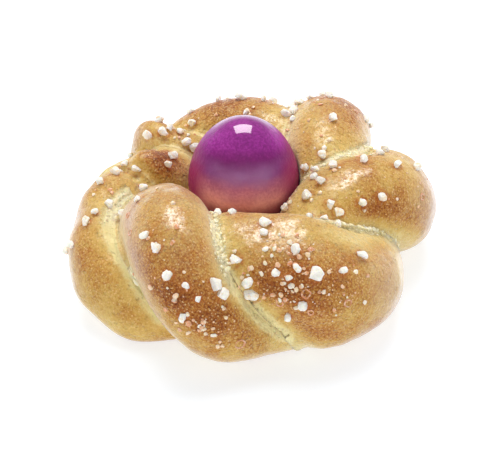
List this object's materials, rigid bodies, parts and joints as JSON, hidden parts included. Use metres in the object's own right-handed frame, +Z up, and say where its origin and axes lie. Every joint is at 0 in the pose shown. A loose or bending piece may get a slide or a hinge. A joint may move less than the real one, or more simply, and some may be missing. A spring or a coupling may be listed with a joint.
{
  "type": "easter bread wreath",
  "caption": "Small wreath of twisted sweet dough baked round a dyed egg and sprinkled with pearl sugar, to be served or shown at Easter.",
  "frame": {"origin": "middle of the bounding box, on the surface the wreath lies on", "axes": "+Z up, the wreath's height; -Y towards the front, where the two long strands cross; +X to the right"},
  "size_m": [0.1496, 0.1468, 0.0641],
  "materials": {
    "golden_crust": "egg-washed golden crust, satin, paler in the creases",
    "purple_shell": "dyed eggshell, oiled and glossy"
  },
  "bodies": {
    "root": {"bread_wreath": "golden_crust", "easter_egg": "purple_shell"}
  },
  "joints": []
}
